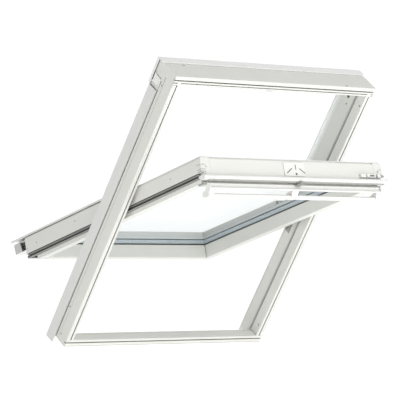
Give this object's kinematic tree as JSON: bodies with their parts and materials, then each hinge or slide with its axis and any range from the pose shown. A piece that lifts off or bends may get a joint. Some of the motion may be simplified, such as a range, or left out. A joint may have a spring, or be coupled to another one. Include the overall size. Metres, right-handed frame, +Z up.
{
  "type": "roof window",
  "caption": "Centre-pivot roof skylight: a pitched frame with a double-glazed sash swung open on side hinges, a ventilation flap with a pull bar along the top edge, and a barrel bolt.",
  "frame": {"origin": "middle of the bottom rail's outer face", "axes": "+X along the sill, +Y away from the room, +Z up"},
  "size_m": [0.79, 1.0207, 0.8607],
  "materials": {
    "white_member": "satin white",
    "lacquered_sheet": "satin lacquer",
    "seal": "matt",
    "zinc_steel": "zinc plated",
    "glass": "clear",
    "spacer": "matt grey",
    "moulding": "white moulding",
    "flap_profile": "satin white"
  },
  "bodies": {
    "frame": {"frame_top_rail": "white_member", "frame_bottom_rail": "white_member", "frame_left_stile": "white_member", "frame_right_stile": "white_member", "head_flashing": "lacquered_sheet", "left_side_cladding": "lacquered_sheet", "right_side_cladding": "lacquered_sheet", "left_upper_cover": "lacquered_sheet", "right_upper_cover": "lacquered_sheet", "corner_clips": "lacquered_sheet", "frame_seals": "seal", "left_frame_hinge": "zinc_steel", "right_frame_hinge": "zinc_steel", "strike_plate": "zinc_steel", "bolt_bush": "zinc_steel", "frame_screws": "zinc_steel"},
    "sash": {"sash_top_rail": "white_member", "sash_bottom_rail": "white_member", "sash_left_stile": "white_member", "sash_right_stile": "white_member", "outer_pane": "glass", "inner_pane": "glass", "pane_spacer": "spacer", "glazing_gasket": "seal", "left_sash_cover": "lacquered_sheet", "right_sash_cover": "lacquered_sheet", "bottom_sash_cover": "lacquered_sheet", "bottom_cover_caps": "moulding", "top_sash_cover": "lacquered_sheet", "sash_seals": "seal", "top_seal_strip": "moulding", "left_sash_hinge": "zinc_steel", "right_sash_hinge": "zinc_steel", "lock_plate": "moulding", "latch_guide": "zinc_steel", "bolt_housing": "moulding", "sash_screws": "zinc_steel", "flap_hinge_rod": "zinc_steel", "flap_rod_bearings": "zinc_steel"},
    "flap": {"ventilation_flap": "flap_profile", "flap_end_caps": "moulding", "control_bar": "flap_profile", "bar_end_brackets": "moulding", "bar_centre_bracket": "moulding"},
    "latch": {"latch_tongue": "zinc_steel"},
    "bolt": {"bolt_rod": "zinc_steel", "bolt_knob": "moulding"}
  },
  "joints": [
    {"name": "sash_pivot", "type": "hinge", "parent": "frame", "child": "sash", "pos_m": [0, -0.22055, 0.39789], "axis": [1, 0, 0], "range_deg": [-40, 120]},
    {"name": "flap_tilt", "type": "hinge", "parent": "sash", "child": "flap", "pos_m": [0, -0.65114, 0.47826], "axis": [1, 0, 0], "range_deg": [-20, 0]},
    {"name": "latch_slide", "type": "slide", "parent": "sash", "child": "latch", "axis": [0, -0.9681, 0.2504], "range_m": [0, 0.0131]},
    {"name": "barrel_bolt", "type": "slide", "parent": "sash", "child": "bolt", "axis": [1, 0, 0], "range_m": [0, 0.024]}
  ],
  "couplings": [
    {"joint": "latch_slide", "follows": "flap_tilt", "m_per_rad": -0.037242}
  ]
}
